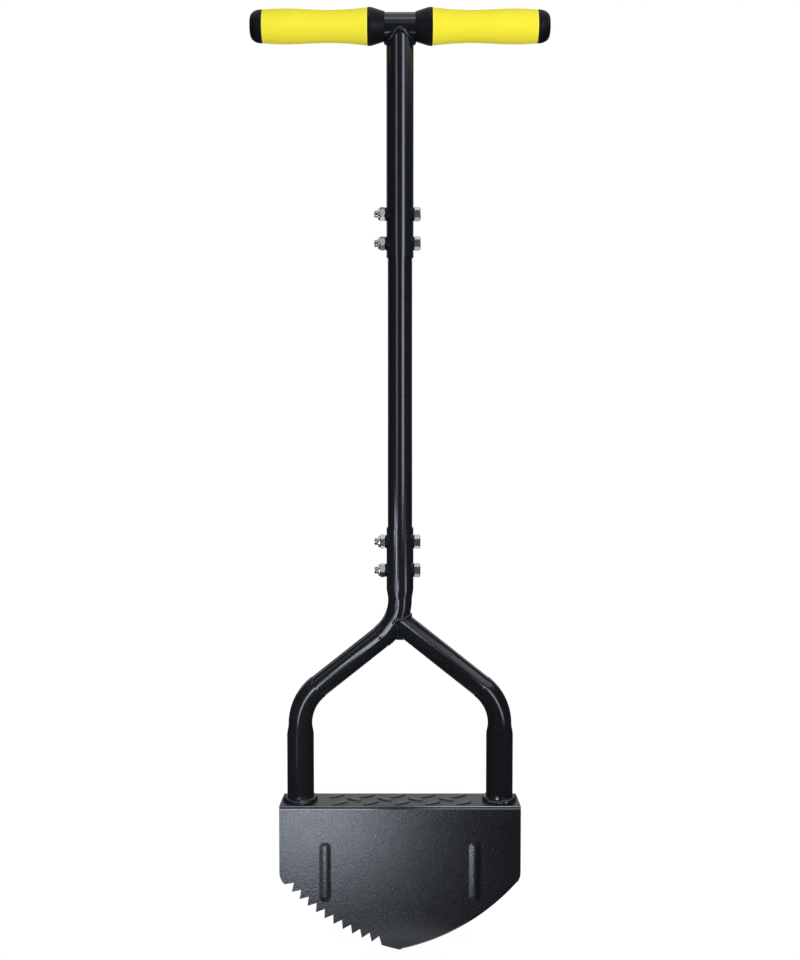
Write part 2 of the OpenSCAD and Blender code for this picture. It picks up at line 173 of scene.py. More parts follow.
def fit(piece, name, node, finish):
    """Finishes a piece: gives it its name and finish, puts it on the root body, and hides the CAD node
    that it stands for.
    """
    take(piece)
    piece.name = name
    piece.data.name = name
    piece.data.materials.clear()
    piece.data.materials.append(finish)
    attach(piece, "root")
    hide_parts(node)


def linear(colour):
    """An sRGB hex colour as the linear RGBA that a shader takes."""
    parts = [int(colour[i:i + 2], 16) / 255 for i in (1, 3, 5)]
    return [c / 12.92 if c <= 0.04045 else ((c + 0.055) / 1.055) ** 2.4 for c in parts] + [1]


def add_node(tree, kind, links=None, **settings):
    """Adds a node with its settings, and links or sets its inputs."""
    node = tree.nodes.new(kind)
    for name, value in settings.items():
        setattr(node, name, value)
    for socket, value in (links or {}).items():
        if isinstance(value, bpy.types.NodeSocket):
            tree.links.new(value, node.inputs[socket])
        else:
            node.inputs[socket].default_value = value
    return node


def new_finish(name, **sockets):
    """A material with one principled shader, and its tree, shader and object coordinates."""
    finish = bpy.data.materials.new(name)
    finish.use_nodes = True
    tree = finish.node_tree
    shader = tree.nodes["Principled BSDF"]
    for socket, value in sockets.items():
        shader.inputs[socket.replace("_", " ")].default_value = value
    place = add_node(tree, "ShaderNodeTexCoord").outputs["Object"]
    return finish, tree, shader, place


def mottle(tree, shader, place, size, detail, dark, light):
    """Clouds a shader's colour in patches of a size, and returns the pattern and the colour."""
    cloud = add_node(tree, "ShaderNodeTexNoise",
                     {"Vector": place, "Scale": 1 / size, "Detail": detail})
    tint = add_node(tree, "ShaderNodeMix",
                    {"Factor": cloud.outputs["Fac"], "A": linear(dark), "B": linear(light)},
                    data_type="RGBA")
    tree.links.new(tint.outputs["Result"], shader.inputs["Base Color"])
    return cloud.outputs["Fac"], tint.outputs["Result"]


def arc_point(side, angle, radius=arc_r):
    """A point of one cutting arc, at an angle from straight down about that arc's centre."""
    x = radius * math.sin(angle) - arc_offset
    return Vector((side * x, blade_back_y, arc_centre_z - radius * math.cos(angle)))


def corner_point(side, angle):
    """A point of one rounded outer corner."""
    x = corner_x + corner_r * math.sin(angle)
    return Vector((side * x, blade_back_y, corner_z - corner_r * math.cos(angle)))


def spread(start, end, count):
    """Evenly spaced numbers from start to end, both included."""
    return [start + (end - start) * i / count for i in range(count + 1)]


arc_centre_z = math.sqrt(arc_r ** 2 - arc_offset ** 2)
corner_x = blade_half_w - corner_r
corner_reach = corner_x + arc_offset
corner_z = arc_centre_z - math.sqrt((arc_r - corner_r) ** 2 - corner_reach ** 2)
point_a = math.asin(arc_offset / arc_r)
corner_a = math.asin(corner_reach / (arc_r - corner_r))
square_a = math.pi / 2
arc_steps = 48
point_steps = 4
corner_steps = 10

plain_arc = [arc_point(1, a) for a in spread(point_a, corner_a, arc_steps)]
right_corner = [corner_point(1, a) for a in spread(corner_a, square_a, corner_steps)][1:]
left_corner = [corner_point(-1, a) for a in spread(square_a, corner_a, corner_steps)]
saw_edge = []
for i in reversed(range(notch_count)):
    tooth_a = point_a + (tooth_start + i * tooth_pitch) / arc_r
    half_tooth_a = tooth_pitch / arc_r / 2
    saw_edge.append(arc_point(-1, tooth_a + 2 * half_tooth_a))
    saw_edge.append(arc_point(-1, tooth_a + half_tooth_a, arc_r - tooth_depth))
first_tooth_a = point_a + tooth_start / arc_r
saw_edge += [arc_point(-1, a) for a in spread(first_tooth_a, point_a, point_steps)][:-1]
blade_outline = [Vector((-blade_half_w, blade_back_y, blade_top_z))]
blade_outline += left_corner + saw_edge + plain_arc + right_corner
blade_outline += [Vector((blade_half_w, blade_back_y, blade_top_z))]

blade = trace(blade_outline)
fill_outline((0, ground_depth - blade_t, 0))
pull((0, -ground_depth, 0))
plain_centre = Vector((-arc_offset, blade_front_y, arc_centre_z))
pick(lambda co: abs(co.y - blade_front_y) < snap and co.x > mm
     and abs((co - plain_centre).length - arc_r) < snap / 10)
shrink = 1 - ground_w / arc_r
bpy.ops.transform.resize(value=(shrink, 1, shrink), center_override=plain_centre)
close_up()
pick(lambda co: co.y < blade_front_y + snap and co.z > blade_top_z - snap)
bpy.ops.mesh.bevel(offset=blade_top_chamfer, segments=1)
bpy.ops.object.mode_set(mode="OBJECT")

# The ribs' hollow backs
rib_x = 78 * mm
rib_w = 12.8 * mm
rib_len = 64.3 * mm
rib_z = 82.8 * mm
rib_h = blade_front_y - blade_low.y
rib_bend_r = ((rib_w / 2) ** 2 + rib_h ** 2) / (2 * rib_h)
rib_straight = (rib_len - rib_w) / 2
hollow_r = rib_bend_r - blade_t
hollow_sides = 48
for side in (-1, 1):
    clear_selection()
    hollow_place = (side * rib_x, blade_low.y + rib_bend_r, rib_z)
    bpy.ops.mesh.primitive_uv_sphere_add(segments=hollow_sides, ring_count=hollow_sides // 2,
                                         radius=hollow_r)
    hollow = bpy.context.object
    bpy.ops.object.mode_set(mode="EDIT")
    for end in (-1, 1):
        pick(lambda co: co.z * end > snap)
        bpy.ops.transform.translate(value=(0, 0, end * rib_straight))
    bpy.ops.object.mode_set(mode="OBJECT")
    hollow.location = hollow_place
    bpy.ops.object.transform_apply()
    carve(blade, hollow)
round_edges(blade, blade_edge_round)

# The ribs' crowns: a long outline with round ends, raised in small insets to a smooth bump
rib_steps = 9
rib_end_steps = 16
rib_flank = 1.4
rib_rise = 0.42 * rib_h
rib_sink = 0.3 * mm
rib_crowns = []
for side in (-1, 1):
    rib_outline = []
    for end in (-1, 1):
        for a in spread(0, math.pi, rib_end_steps):
            x = side * rib_x + end * rib_w / 2 * math.cos(a)
            z = rib_z + end * (rib_straight + rib_w / 2 * math.sin(a))
            rib_outline.append(Vector((x, blade_front_y + rib_sink, z)))
    crown = trace(rib_outline)
    fill_outline((0, -rib_sink, 0))
    pick(lambda co: abs(co.y - blade_front_y) < snap)
    height = 0
    for i in range(rib_steps):
        share = (i + 1) / (rib_steps + 1)
        rise = rib_rise * math.sin(share * square_a) ** rib_flank
        bpy.ops.mesh.inset(thickness=rib_w / 2 / (rib_steps + 1))
        bpy.ops.transform.translate(value=(0, height - rise, 0))
        height = rise
    close_up()
    bpy.ops.object.mode_set(mode="OBJECT")
    shade(50)
    rib_crowns.append(crown)
blade = join([blade] + rib_crowns)

# Textured powder coat on steel: a satin black film with a fine leather-like skin, which breaks the
# light into grain. The skin's cells are about 1 mm, drawn 1.7 mm wide so that they show. Along the
# front top edges of blade and plate the film draws thin and smooth and catches a line of light, and
# the plate's ground is duller than the crowns of its tread bars.
skin_cell = 1.7 * mm
skin_depth = 0.15 * mm
skin_cloud = 18 * mm
edge_band = 0.45 * mm
edge_depth = 1.2 * mm
blade_edge_z = blade_top_z - 0.35 * mm
plate_edge_z = blade_top_z + 2.1 * mm
edge_roughness = 0.1
ground_roughness = 0.41
cool_shine = linear("#e7f0ff")
textured_black, tree, shader, place = new_finish(
    "textured black powder coat", Specular_IOR_Level=0.5, Specular_Tint=cool_shine)
skin = add_node(tree, "ShaderNodeTexNoise", {
    "Vector": place, "Scale": 1 / skin_cell, "Detail": 3, "Roughness": 0.6, "Distortion": 0.3})
mottle(tree, shader, place, skin_cloud, 2, "#0d0e11", "#121316")
satin = add_node(tree, "ShaderNodeMapRange",
                 {"Value": skin.outputs["Fac"], "To Min": 0.24, "To Max": 0.32})
spot = add_node(tree, "ShaderNodeSeparateXYZ", {"Vector": place})
blade_edge, plate_edge = [
    add_node(tree, "ShaderNodeMath", {0: spot.outputs["Z"], 1: z, 2: edge_band},
             operation="COMPARE").outputs[0]
    for z in (blade_edge_z, plate_edge_z)]
edge = add_node(tree, "ShaderNodeMath", {0: blade_edge, 1: plate_edge}, operation="MAXIMUM")
front = add_node(tree, "ShaderNodeMath", {0: spot.outputs["Y"], 1: blade_front_y + edge_depth},
                 operation="LESS_THAN")
smooth = add_node(tree, "ShaderNodeMath", {0: edge.outputs[0], 1: front.outputs[0]},
                  operation="MULTIPLY")
grained = add_node(tree, "ShaderNodeMath", {0: 1, 1: smooth.outputs[0]}, operation="SUBTRACT")
ground = add_node(tree, "ShaderNodeMath", {0: plate_edge, 1: smooth.outputs[0]},
                  operation="SUBTRACT", use_clamp=True)
gloss = add_node(tree, "ShaderNodeMix",
                 {"Factor": smooth.outputs[0], "A": satin.outputs["Result"], "B": edge_roughness})
gloss = add_node(tree, "ShaderNodeMix",
                 {"Factor": ground.outputs[0], "A": gloss.outputs["Result"], "B": ground_roughness})
relief = add_node(tree, "ShaderNodeBump", {
    "Height": skin.outputs["Fac"], "Distance": skin_depth, "Strength": grained.outputs[0]})
tree.links.new(gloss.outputs["Result"], shader.inputs["Roughness"])
tree.links.new(relief.outputs["Normal"], shader.inputs["Normal"])
fit(blade, "half_moon_blade", "blade", textured_black)

# Footplate
# A 2.5 mm steel tread plate with rows of raised bars, a little narrower at the back. It sits on the
# blade's top edge, just behind its front face, and takes the user's foot.
plate_low, plate_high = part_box("footplate")
plate_t = 2.5 * mm
plate_top_z = plate_low.z + plate_t
plate_taper = 2 * mm
plate_edge_round = 0.2 * mm
plate_top_chamfer = 1 * mm
plate_under_chamfer = 1 * mm
plate_setback = 0.3 * mm
plate_corner_r = 2 * mm
plate_corner_steps = 6
tread_len = 18 * mm
tread_w = 6.2 * mm
tread_blunt = 0.8
tread_sides = 40
tread_h = plate_high.z - plate_top_z
tread_pitch = 32.3 * mm
row_pitch = 10.7 * mm
tread_middle_y = plate_low.y + 20.3 * mm
tread_turn = math.radians(30)
tread_shift = 2.2 * mm
tread_sink = 0.3 * mm
row_counts = ((-1, 5), (0, 4), (1, 5))
flank_w = tread_w / 7
flank_round = 1.2
flank_steps = 4
crown_w = 1.6 * mm
crown_h = 0.16 * mm


def double(piece):
    """A copy of a piece with a mesh of its own, taken up."""
    copy = piece.copy()
    copy.data = piece.data.copy()
    bpy.context.scene.collection.objects.link(copy)
    return take(copy)


clear_selection()
plate_front_y = plate_low.y + plate_setback
plate_size = (plate_high.x - plate_low.x, plate_high.y - plate_front_y, plate_t)
plate_centre = (0, (plate_front_y + plate_high.y) / 2, plate_low.z + plate_t / 2)
bpy.ops.mesh.primitive_cube_add(size=1, location=plate_centre, scale=plate_size)
plate = bpy.context.object
bpy.ops.object.transform_apply()
bpy.ops.object.mode_set(mode="EDIT")
pick(lambda co: co.y > plate_centre[1])
bpy.ops.transform.resize(value=(1 - plate_taper / plate_high.x, 1, 1), center_override=plate_centre)
for side in (-1, 1):
    pick(lambda co: co.y > plate_centre[1] and co.x * side > 0)
    bpy.ops.mesh.bevel(offset=plate_corner_r, segments=plate_corner_steps)
pick(lambda co: co.y < plate_front_y + snap and co.z > plate_top_z - snap)
bpy.ops.mesh.bevel(offset=plate_top_chamfer, segments=1)
pick(lambda co: co.y < plate_front_y + snap and co.z < plate_low.z + snap)
bpy.ops.mesh.bevel(offset=plate_under_chamfer, segments=1)
bpy.ops.object.mode_set(mode="OBJECT")
round_edges(plate, plate_edge_round)

# One tread bar: a blunt oval with steep flanks and a slightly crowned top, then copied in rows
bar_outline = []
for a in spread(0, 2 * math.pi, tread_sides)[:-1]:
    x = math.copysign(abs(math.cos(a)) ** tread_blunt, math.cos(a)) * tread_len / 2
    y = math.copysign(abs(math.sin(a)) ** tread_blunt, math.sin(a)) * tread_w / 2
    bar_outline.append(Vector((x, y, plate_top_z - tread_sink)))
bar = trace(bar_outline)
fill_outline((0, 0, tread_sink))
height = 0
for i in range(flank_steps):
    share = (i + 1) / (flank_steps + 1)
    rise = (tread_h - crown_h) * math.sin(share * square_a) ** flank_round
    bpy.ops.mesh.inset(thickness=flank_w / flank_steps)
    bpy.ops.transform.translate(value=(0, 0, rise - height))
    height = rise
bpy.ops.mesh.inset(thickness=crown_w)
bpy.ops.transform.translate(value=(0, 0, crown_h))
close_up()
bpy.ops.object.mode_set(mode="OBJECT")
shade(12)
tread_bars = []
for row, count in row_counts:
    for i in range(count):
        copy = double(bar)
        x = (i - (count - 1) / 2) * tread_pitch - row * tread_shift
        copy.location = (x, tread_middle_y + row * row_pitch, 0)
        copy.rotation_euler.z = tread_turn if row else -tread_turn
        bpy.ops.object.transform_apply()
        tread_bars.append(copy)
bpy.data.objects.remove(bar)
plate = join([plate] + tread_bars)
fit(plate, "tread_plate", "footplate", textured_black)

# Legs
# Two 28 mm steel tubes, squeezed between dies where they are bent. The left one runs on upwards as
# the socket of the shaft, and the right one is coped to the left one's upper bend.
leg_low, leg_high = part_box("left_leg")
tube_r = leg_high.x
tube_wall = 1.2 * mm
leg_x = -leg_low.x - tube_r
foot_z = leg_low.z
socket_rim_z = leg_high.z
leg_rise = 105 * mm
fork_drop = 83.7 * mm
bend_r = 50 * mm
bend_w = 24.8 * mm
slant_w = 23.8 * mm
shoulder_len = 12 * mm
die_mark_len = 1.3 * mm
die_mark_depth = 0.06 * mm
ring_sides = 96
shoulder_steps = 10
bend_steps = 24
die_mark_steps = 3
slant_steps = 16
fork_a = math.atan(leg_x / fork_drop)
bend_run = bend_r * math.tan(fork_a / 2)
slant_len = math.hypot(leg_x, fork_drop) - 2 * bend_run
shoulder_z = foot_z + leg_rise
crotch_z = shoulder_z + fork_drop
lower_bend_z = shoulder_z - bend_run
upper_bend_z = crotch_z + bend_run


def squeezed(width, depth=0):
    """Half width and half depth of the tube, squeezed to a width with its girth kept."""
    return width / 2 - depth, math.pi * (2 * tube_r - width) / 4 + width / 2 - depth


def press(along, outwards, length, old, new, steps):
    """Draws the selected ring of a tube along a way, while its section goes from old to new."""
    last = old
    for share in spread(0, 1, steps)[1:]:
        smooth = share * share * (3 - 2 * share)
        now = [a + (b - a) * smooth for a, b in zip(old, new)]
        pull(along * length / steps)
        mesh = bmesh.from_edit_mesh(bpy.context.object.data)
        ring = [vertex for vertex in mesh.verts if vertex.select]
        centre = sum((vertex.co for vertex in ring), Vector()) / len(ring)
        for vertex in ring:
            vertex.co += outwards * (vertex.co - centre).dot(outwards) * (now[0] / last[0] - 1)
            vertex.co.y *= now[1] / last[1]
        bmesh.update_edit_mesh(bpy.context.object.data)
        last = now


def bend(angle, x, z):
    """Bends the selected ring of a tube round a centre in the fork's plane."""
    bpy.ops.mesh.spin(steps=bend_steps, angle=angle, center=(x, 0, z), axis=(0, 1, 0))


def draw_leg(side, slant_end):
    """Draws one leg from its foot to the end of its slant, and stays in edit mode."""
    clear_selection()
    foot = (side * leg_x, 0, foot_z)
    bpy.ops.mesh.primitive_circle_add(vertices=ring_sides, radius=tube_r, location=foot)
    bpy.ops.object.transform_apply()
    bpy.ops.object.mode_set(mode="EDIT")
    upright = lower_bend_z - shoulder_len - foot_z
    pull((0, 0, upright))
    press(up, Vector((side, 0, 0)), shoulder_len, round_tube, bent_tube, shoulder_steps)
    bend(side * fork_a, side * (leg_x - bend_r), lower_bend_z)
    slope = Vector((-side * math.sin(fork_a), 0, math.cos(fork_a)))
    outwards = Vector((side * math.cos(fork_a), 0, math.sin(fork_a)))
    press(slope, outwards, die_mark_len, bent_tube, die_mark, die_mark_steps)
    press(slope, outwards, die_mark_len, die_mark, slant_tube, die_mark_steps)
    press(slope, outwards, slant_end - 2 * die_mark_len, slant_tube, slant_tube, slant_steps)
    return slope, outwards


def wall_up(tube):
    """Gives a drawn tube its wall, inwards, and shades it smooth."""
    close_up()
    bpy.ops.object.mode_set(mode="OBJECT")
    wall = tube.modifiers.new("wall", "SOLIDIFY")
    wall.thickness = tube_wall
    wall.offset = -1
    apply_modifiers(tube)
    shade(30)


up = Vector((0, 0, 1))
round_tube = (tube_r, tube_r)
bent_tube = squeezed(bend_w)
slant_tube = squeezed(slant_w)
die_mark = squeezed(slant_w, die_mark_depth)

# Gloss powder coat on tube: near black, smooth, with the long faint waves of a sprayed film, which
# make the strip lights' reflections waver a little
wave_len = 14 * mm
wave_depth = 0.012 * mm
gloss_black, tree, shader, place = new_finish(
    "gloss black powder coat", Specular_IOR_Level=0.5, Specular_Tint=cool_shine, Roughness=0.18)
wave, _ = mottle(tree, shader, place, wave_len, 1, "#111215", "#16171a")
relief = add_node(tree, "ShaderNodeBump", {"Height": wave, "Distance": wave_depth, "Strength": 1})
tree.links.new(relief.outputs["Normal"], shader.inputs["Normal"])

slope, outwards = draw_leg(-1, slant_len - 2 * die_mark_len)
left_leg = bpy.context.object
press(slope, outwards, die_mark_len, slant_tube, die_mark, die_mark_steps)
press(slope, outwards, die_mark_len, die_mark, bent_tube, die_mark_steps)
bend(fork_a, -bend_r, upper_bend_z)
press(up, Vector((-1, 0, 0)), shoulder_len, bent_tube, round_tube, shoulder_steps)
socket_len = socket_rim_z - upper_bend_z - shoulder_len
pull((0, 0, socket_len))
bpy.ops.object.mode_set(mode="OBJECT")
left_core = double(left_leg)
bpy.ops.object.mode_set(mode="EDIT")
close_up()
bpy.ops.mesh.fill_holes(sides=ring_sides)
bpy.ops.object.mode_set(mode="OBJECT")
take(left_leg)
bpy.ops.object.mode_set(mode="EDIT")
wall_up(left_leg)
fit(left_leg, "left_bent_tube", "left_leg", gloss_black)

cope_reach = 6 * mm
draw_leg(1, slant_len + bend_run + cope_reach)
right_leg = bpy.context.object
wall_up(right_leg)
carve(right_leg, left_core)
fit(right_leg, "right_bent_tube", "right_leg", gloss_black)

# Weld beads
# MIG beads under the same gloss coat, laid down in small overlapping ripples: round each foot, round
# the coped end of the right leg, and along the back of the blade.
ripple_pitch = 2.6 * mm
ripple_peak = 0.3
short_lump = 3.7 * mm
long_lump = 8.3 * mm
bead_step = 0.4 * mm


def lay_bead(path, bead_r, closed, lump=0.04, ripple_share=0.07):
    """A rippled and lumpy bead of one radius along a path."""
    ends = path[1:] + path[:1] if closed else path[1:]
    laid = []
    done = 0
    for start, end in zip(path, ends):
        length = (end - start).length
        for share in spread(0, 1, max(1, round(length / bead_step)))[:-1]:
            way = done + share * length
            ripple = 1 - 2 * abs((way / ripple_pitch) % 1 - ripple_peak)
            wobble = math.sin(way / short_lump) + math.sin(way / long_lump + 1)
            radius = bead_r * (1 + ripple_share * ripple + lump * wobble)
            laid.append((start.lerp(end, share), radius))
        done += length
    curve = bpy.data.curves.new("bead", "CURVE")
    curve.dimensions = "3D"
    curve.bevel_depth = 1
    curve.bevel_resolution = 5
    curve.use_fill_caps = not closed
    spline = curve.splines.new("POLY")
    spline.points.add(len(laid) - 1)
    spline.use_cyclic_u = closed
    for point, (spot, radius) in zip(spline.points, laid):
        point.co = (*spot, 1)
        point.radius = radius
    bead = bpy.data.objects.new("bead", curve)
    bpy.context.scene.collection.objects.link(bead)
    take(bead)
    bpy.ops.object.convert(target="MESH")
    bead = bpy.context.object
    bpy.ops.object.mode_set(mode="EDIT")
    close_up()
    bpy.ops.object.mode_set(mode="OBJECT")
    bpy.ops.object.shade_smooth()
    return bead


def trim(*planes):
    """Cuts away the active piece beyond each plane, given as a point and the way out."""
    bpy.ops.object.mode_set(mode="EDIT")
    for spot, way in planes:
        bpy.ops.mesh.select_all(action="SELECT")
        bpy.ops.mesh.bisect(plane_co=spot, plane_no=way, clear_outer=True, use_fill=True)
    bpy.ops.object.mode_set(mode="OBJECT")


foot_bead_r = 3.3 * mm
foot_bead_rise = 0.8 * mm
foot_bead_lump = 0.17
foot_bead_sink = 0.5 * mm
for side, name in ((-1, "left"), (1, "right")):
    ring_r = tube_r + foot_bead_rise
    ring_z = plate_top_z + foot_bead_rise
    ring = [Vector((side * leg_x + ring_r * math.sin(a), -ring_r * math.cos(a), ring_z))
            for a in spread(0, 2 * math.pi, ring_sides)[:-1]]
    foot_bead = lay_bead(ring, foot_bead_r, True, foot_bead_lump)
    trim(((0, plate_high.y, 0), (0, 1, 0)), ((0, 0, plate_top_z - foot_bead_sink), (0, 0, -1)))
    fit(foot_bead, f"{name}_foot_bead", f"{name}_foot_weld", gloss_black)

# Round the coped leg, each point lies where a line of the right leg's skin enters the left leg's bend
slope = Vector((-math.sin(fork_a), 0, math.cos(fork_a)))
outwards = Vector((math.cos(fork_a), 0, math.sin(fork_a)))
crotch = Vector((0, 0, crotch_z))
fork_bead_r = 2.4 * mm
fork_bead_lump = 0.08
cope_steps = 120
cope_search = 50 * mm
search_rounds = 24


def in_left_bend(spot):
    """Whether a point lies inside the left leg's upper bend."""
    level = (bend_r - math.hypot(spot.x + bend_r, spot.z - upper_bend_z)) / bent_tube[0]
    return level ** 2 + (spot.y / bent_tube[1]) ** 2 < 1


cope_path = []
for a in spread(0, 2 * math.pi, cope_steps)[:-1]:
    skin_line = crotch + outwards * slant_tube[0] * math.cos(a)
    skin_line.y += slant_tube[1] * math.sin(a)
    outside, inside = -cope_search, cope_reach
    for _ in range(search_rounds):
        middle = (outside + inside) / 2
        if in_left_bend(skin_line + slope * middle):
            inside = middle
        else:
            outside = middle
    cope_path.append(skin_line + slope * inside)
fork_bead = lay_bead(cope_path, fork_bead_r, True, fork_bead_lump)

# The gusset of weld metal below the crotch, its corners in mm from there
fill_shape = ((-4.2, -17.3), (3.9, -17.3), (4.4, -7), (1.5, 1), (-4.4, -7))
fill_depth = 9.5 * mm
fill_round = 0.8 * mm
crotch_fill = trace([crotch + Vector((x * mm, -fill_depth, z * mm)) for x, z in fill_shape])
fill_outline((0, 2 * fill_depth, 0))
close_up()
bpy.ops.object.mode_set(mode="OBJECT")
round_edges(crotch_fill, fill_round)
fork_bead = join([fork_bead, crotch_fill])
fit(fork_bead, "fork_bead", "fork_weld", gloss_black)

# The seam behind the blade, along the corner that it makes with the plate
seam_low, seam_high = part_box("blade_weld")
seam_bead_r = 3.2 * mm
seam_sink = 0.8 * mm
seam_bite = 0.3 * mm
seam_y = blade_back_y + seam_sink
seam_z = blade_top_z - seam_sink
seam = [Vector((x, seam_y, seam_z)) for x in (seam_low.x + seam_bead_r, seam_high.x - seam_bead_r)]
seam_bead = lay_bead(seam, seam_bead_r, False)
trim(((0, blade_back_y - seam_bite, 0), (0, -1, 0)), ((0, 0, plate_low.z + seam_bite), (0, 0, 1)))
fit(seam_bead, "blade_seam_bead", "blade_weld", gloss_black)

# Shaft
# The middle tube slips into the fork's socket below and the upper shaft above. The upper shaft's top
# is coped to seat under the handle bar.
middle_low, middle_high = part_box("middle_tube")
shaft_low, shaft_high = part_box("upper_shaft")
bar_low, bar_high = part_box("handle_bar")
bar_r = (bar_high.z - bar_low.z) / 2
bar_z = (bar_high.z + bar_low.z) / 2
for name, node, radius, low_z, high_z in (
        ("middle_shaft", "middle_tube", middle_high.x, middle_low.z, middle_high.z),
        ("upper_shaft_tube", "upper_shaft", shaft_high.x, shaft_low.z, bar_z)):
    clear_selection()
    bpy.ops.mesh.primitive_circle_add(vertices=ring_sides, radius=radius, location=(0, 0, low_z))
    tube = bpy.context.object
    bpy.ops.object.transform_apply()
    bpy.ops.object.mode_set(mode="EDIT")
    pull((0, 0, high_z - low_z))
    wall_up(tube)
    if node == "upper_shaft":
        clear_selection()
        bpy.ops.mesh.primitive_cylinder_add(vertices=ring_sides, radius=bar_r, depth=4 * tube_r,
                                            location=(0, 0, bar_z), rotation=(0, square_a, 0))
        carve(tube, bpy.context.object)
    fit(tube, name, node, gloss_black)

# Bolted joints
# Two zinc-plated M8 hex bolts across each socket, with black moulded saddle washers that hug the
# tube under every head and nut, and lock nuts with a nylon ring on the left.
bolt_r = 4 * mm
bolt_hole_r = 4.25 * mm
washer_r = 7 * mm
hex_r = 13 * mm / math.sqrt(3)
chamfer_run = 1.2 * mm
chamfer_drop = 1.5 * mm
thread_pitch = 1.25 * mm
thread_depth = 0.75 * mm
thread_root_r = bolt_r - thread_depth
thread_sink = 0.1 * mm
thread_start = 0.3 * mm
thread_steps = 32
tip_round = 0.5 * mm
hex_edge_round = 0.12 * mm
washer_round = 0.4 * mm
nut_hex_h = 6 * mm
nut_bore_sides = 48
collar_r = 5.95 * mm
collar_bite = 0.3 * mm
collar_flare = 0.4 * mm
collar_flare_len = 0.6 * mm
collar_foot_round = 0.5 * mm
collar_end_round = 0.8 * mm
collar_lip_round = 0.1 * mm
nylon_r = 5 * mm
nylon_depth = 1.5 * mm
nylon_recess = 0.1 * mm
rounding_steps = 5


def turn(profile, axis_z, steps=64):
    """Spins a chain of (station, radius, corner rounding) points round a level axis."""
    spots = [Vector((x, 0, axis_z + r)) for x, r, _ in profile]
    piece = trace(spots)
    for spot, (_, _, rounding) in zip(spots, profile):
        if rounding:
            pick(lambda co: (co - spot).length < merge_gap)
            bpy.ops.mesh.bevel(offset=rounding, segments=rounding_steps, affect="VERTICES")
    bpy.ops.mesh.select_all(action="SELECT")
    bpy.ops.mesh.spin(steps=steps, angle=2 * math.pi, center=(0, 0, axis_z), axis=(1, 0, 0))
    close_up()
    bpy.ops.object.mode_set(mode="OBJECT")
    shade(35)
    return piece


def hex_blank(x0, x1, axis_z, turned, chamfer_ends):
    """A hexagon bar along X, turned by degrees from corner up, chamfered at the ends that are named."""
    clear_selection()
    bpy.ops.mesh.primitive_cylinder_add(vertices=6, radius=hex_r, depth=x1 - x0,
                                        rotation=(0, square_a, 0))
    blank = bpy.context.object
    bpy.ops.object.transform_apply()
    blank.rotation_euler.x = math.radians(30 + turned)
    blank.location = ((x0 + x1) / 2, 0, axis_z)
    bpy.ops.object.transform_apply()
    wide = 2 * hex_r
    low_r = hex_r - chamfer_drop
    left = [(x0, low_r), (x0 + chamfer_run, hex_r)] if -1 in chamfer_ends else [(x0 - mm, wide)]
    right = [(x1 - chamfer_run, hex_r), (x1, low_r)] if 1 in chamfer_ends else [(x1 + mm, wide)]
    left = [(left[0][0], 0)] + left
    right = right + [(right[-1][0], 0)]
    tool = turn([(x, r, 0) for x, r in left + right], axis_z)
    carve(blank, tool, "INTERSECT")
    round_edges(blank, hex_edge_round, limit=25)
    return blank


def turn_round(piece, side):
    """Turns a piece that was made on the right round to its own side."""
    take(piece)
    if side < 0:
        piece.rotation_euler.z = math.pi
        bpy.ops.object.transform_apply()
    return piece


def saddle_washer(side, seat, axis_z):
    """A washer that is flat under a head or nut and hollowed to hug the tube."""
    inner = tube_r - washer_r / 2
    ring = turn([(inner, bolt_hole_r, 0), (inner, washer_r, 0), (seat, washer_r, washer_round),
                 (seat, bolt_hole_r, 0), (inner, bolt_hole_r, 0)], axis_z)
    turn_round(ring, side)
    clear_selection()
    bpy.ops.mesh.primitive_cylinder_add(vertices=ring_sides, radius=tube_r, depth=4 * washer_r,
                                        location=(0, 0, axis_z))
    carve(ring, bpy.context.object)
    take(ring)
    shade(35)
    return ring


def bolt_thread(x0, x1, axis_z):
    """The ridge of a screw thread, drawn by shares of its pitch and wound between two stations."""
    sunk_r = thread_root_r - thread_sink
    ridge = ((0, sunk_r), (0.45, bolt_r), (0.55, bolt_r), (0.98, sunk_r))
    lead = trace([Vector((x0 + thread_pitch * share, 0, r)) for share, r in ridge])
    bpy.ops.mesh.select_all(action="SELECT")
    bpy.ops.mesh.edge_face_add()
    bpy.ops.mesh.delete(type="ONLY_FACE")
    bpy.ops.object.mode_set(mode="OBJECT")
    screw = lead.modifiers.new("thread", "SCREW")
    screw.axis = "X"
    screw.screw_offset = thread_pitch
    screw.iterations = int((x1 - x0) / thread_pitch) - 1
    screw.steps = thread_steps
    screw.render_steps = thread_steps
    apply_modifiers(lead)
    lead.location.z = axis_z
    bpy.ops.object.transform_apply()
    bpy.ops.object.mode_set(mode="EDIT")
    close_up()
    bpy.ops.mesh.fill_holes(sides=4)
    bpy.ops.mesh.normals_make_consistent(inside=False)
    bpy.ops.object.mode_set(mode="OBJECT")
    shade(40)
    return lead


# Zinc plate on steel: bright and slightly cloudy, passivated a faint blue
zinc_cloud = 2.5 * mm
zinc_plate, tree, shader, place = new_finish("zinc plate", Metallic=1)
cloud, _ = mottle(tree, shader, place, zinc_cloud, 3, "#b9bec4", "#c6cacf")
matt = add_node(tree, "ShaderNodeMapRange", {"Value": cloud, "To Min": 0.18, "To Max": 0.26})
tree.links.new(matt.outputs["Result"], shader.inputs["Roughness"])

